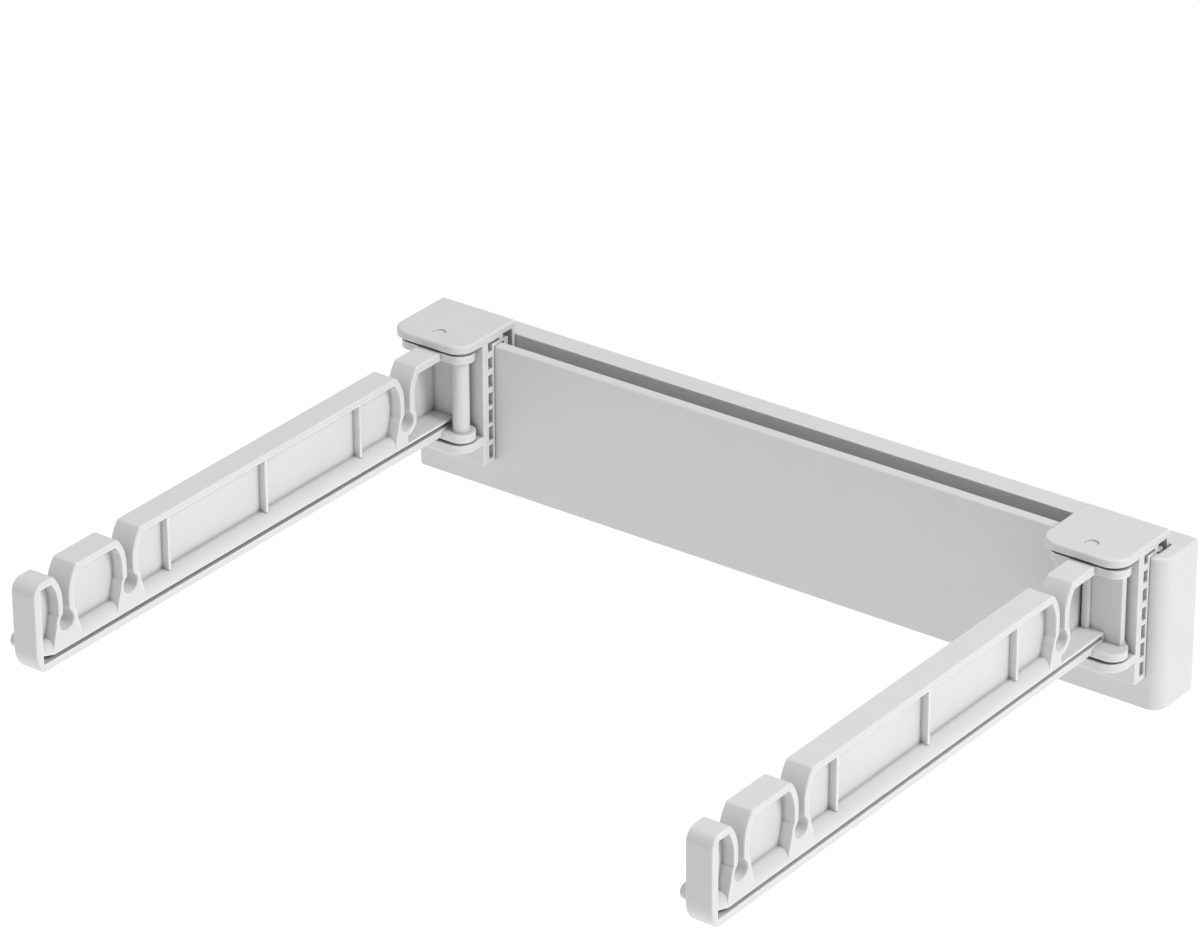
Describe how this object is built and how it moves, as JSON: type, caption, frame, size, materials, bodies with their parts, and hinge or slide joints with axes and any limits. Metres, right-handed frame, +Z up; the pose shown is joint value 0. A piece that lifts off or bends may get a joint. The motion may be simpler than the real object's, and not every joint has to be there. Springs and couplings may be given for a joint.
{
  "type": "wall mounted drying rack",
  "caption": "Long hollow wall panel with a slotted top, two hooked-on brackets and two notched arms that swing sideways on vertical pins.",
  "frame": {"origin": "on the wall plane, centre of the four wall screw holes, which is the centre of the panel's length and height", "axes": "+X to the right along the wall, +Y into the wall (the arms point to -Y), +Z up"},
  "size_m": [0.545, 0.4458, 0.1095],
  "materials": {
    "white_plastic": "satin",
    "rail_metal": "satin",
    "steel": "satin",
    "bush_plastic": "matte",
    "bumper_rubber": "matte"
  },
  "bodies": {
    "base": {"panel_shell": "white_plastic", "wall_rail": "rail_metal", "lock_screws": "steel", "bracket_left": "white_plastic", "bracket_right": "white_plastic", "hinge_pin_left": "steel", "hinge_pin_right": "steel"},
    "left_arm": {"arm_left": "white_plastic", "bush_upper_left": "bush_plastic", "bush_lower_left": "bush_plastic", "bumper_left": "bumper_rubber"},
    "right_arm": {"arm_right": "white_plastic", "bush_upper_right": "bush_plastic", "bush_lower_right": "bush_plastic", "bumper_right": "bumper_rubber"}
  },
  "joints": [
    {"name": "left_arm_swing", "type": "hinge", "parent": "base", "child": "left_arm", "pos_m": [-0.21965, -0.0595, 0], "axis": [0, 0, 1], "range_deg": [0, 90]},
    {"name": "right_arm_swing", "type": "hinge", "parent": "base", "child": "right_arm", "pos_m": [0.21946, -0.0595, 0], "axis": [0, 0, 1], "range_deg": [-65, 0]}
  ]
}
